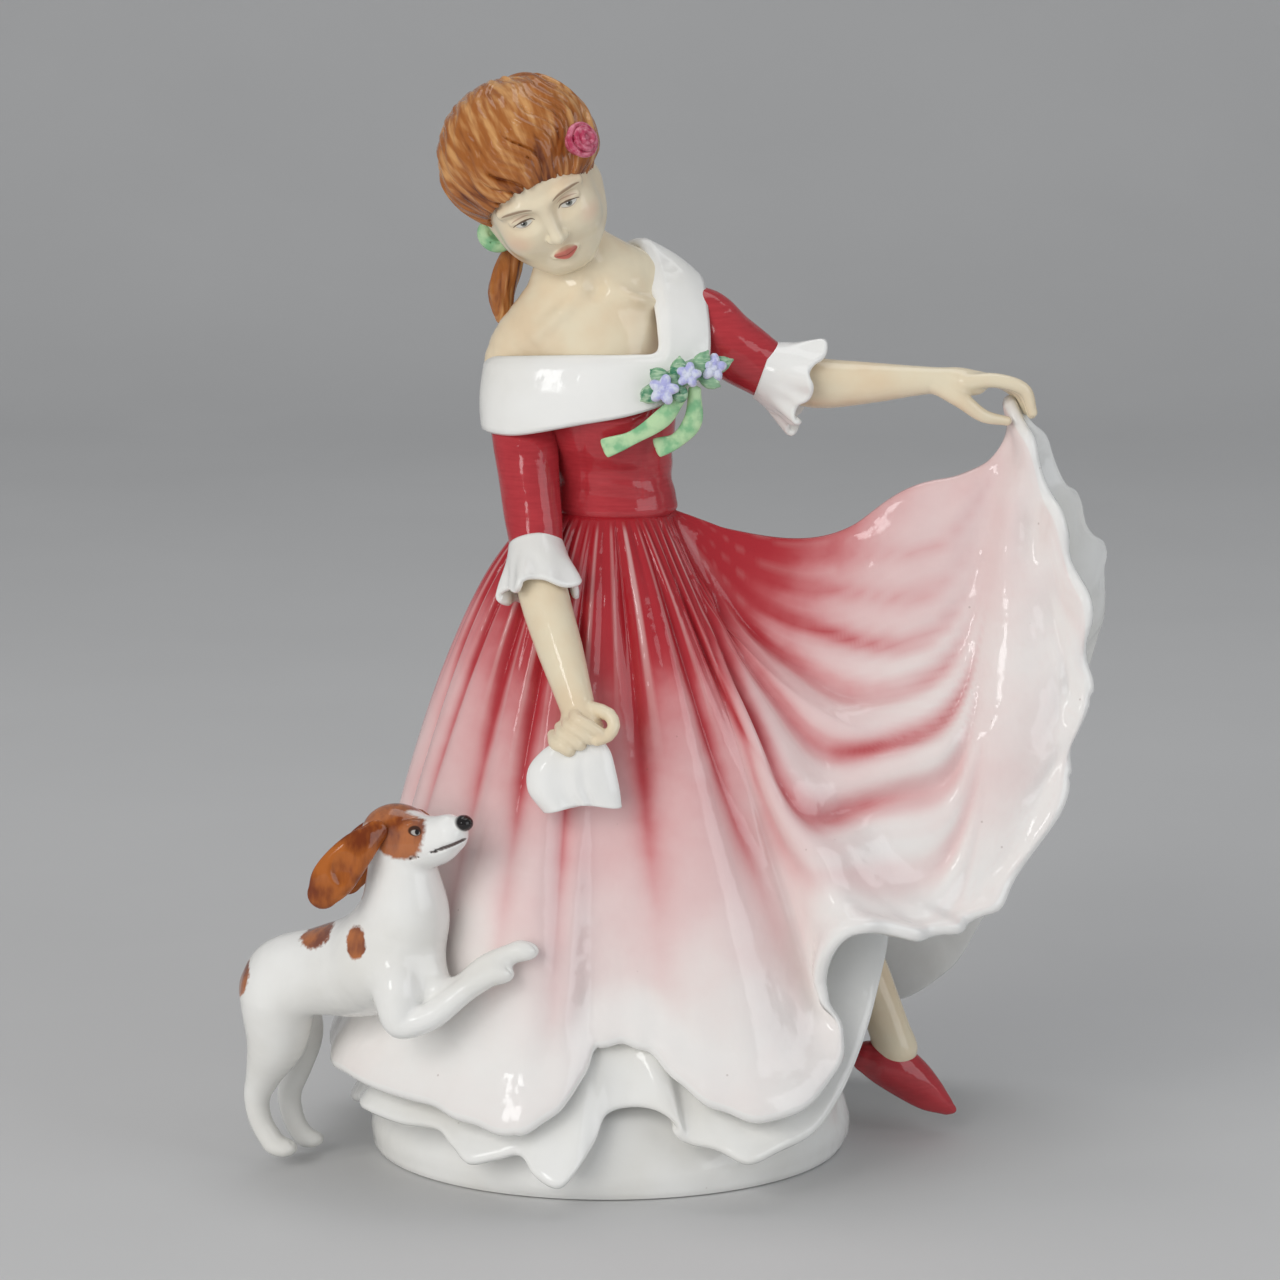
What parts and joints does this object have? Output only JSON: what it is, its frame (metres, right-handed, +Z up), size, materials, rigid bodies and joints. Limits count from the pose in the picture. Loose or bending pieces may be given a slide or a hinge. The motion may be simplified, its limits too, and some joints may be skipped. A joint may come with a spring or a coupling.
{
  "type": "porcelain lady figurine",
  "caption": "Glazed porcelain lady in a draped gown lifting one side of her skirt, with a small spaniel leaping beside her, on a low oval plinth.",
  "frame": {"origin": "centre of the plinth on its flat underside", "axes": "+Z up, +X towards the lady's raised left hand, -Y towards the front"},
  "size_m": [0.1624, 0.0976, 0.203],
  "materials": {
    "white_glaze": "clear gloss glaze over white body",
    "crimson_glaze": "gloss glaze over crimson underglaze colour",
    "shaded_rose_glaze": "gloss glaze over crimson colour that shades to white at the hem",
    "flesh_glaze": "soft gloss glaze over ivory flesh colour",
    "auburn_glaze": "gloss glaze over brushed auburn colour",
    "leaf_glaze": "gloss glaze over green colour",
    "lilac_glaze": "gloss glaze over lilac colour",
    "raspberry_glaze": "gloss glaze over raspberry colour",
    "chestnut_glaze": "gloss glaze over chestnut colour"
  },
  "bodies": {
    "root": {"base_plinth": "white_glaze", "petticoat": "white_glaze", "skirt": "shaded_rose_glaze", "leg": "flesh_glaze", "shoe": "crimson_glaze", "head": "flesh_glaze", "hair": "auburn_glaze", "hair_rose": "raspberry_glaze", "bodice": "crimson_glaze", "shoulders": "flesh_glaze", "collar": "white_glaze", "right_sleeve": "crimson_glaze", "right_cuff": "white_glaze", "right_forearm": "flesh_glaze", "handkerchief": "white_glaze", "left_sleeve": "crimson_glaze", "left_cuff": "white_glaze", "left_forearm": "flesh_glaze", "hair_bow": "leaf_glaze", "hair_lock": "auburn_glaze", "posy_leaves": "leaf_glaze", "posy_flower_left": "lilac_glaze", "posy_flower_middle": "lilac_glaze", "posy_flower_right": "lilac_glaze", "ribbon_tail_long": "leaf_glaze", "ribbon_tail_short": "leaf_glaze", "dog_body": "white_glaze", "dog_head": "white_glaze", "dog_right_ear": "chestnut_glaze", "dog_left_ear": "chestnut_glaze", "dog_right_foreleg": "white_glaze", "dog_left_foreleg": "white_glaze", "dog_right_hind_leg": "white_glaze", "dog_left_hind_leg": "white_glaze"}
  },
  "joints": []
}
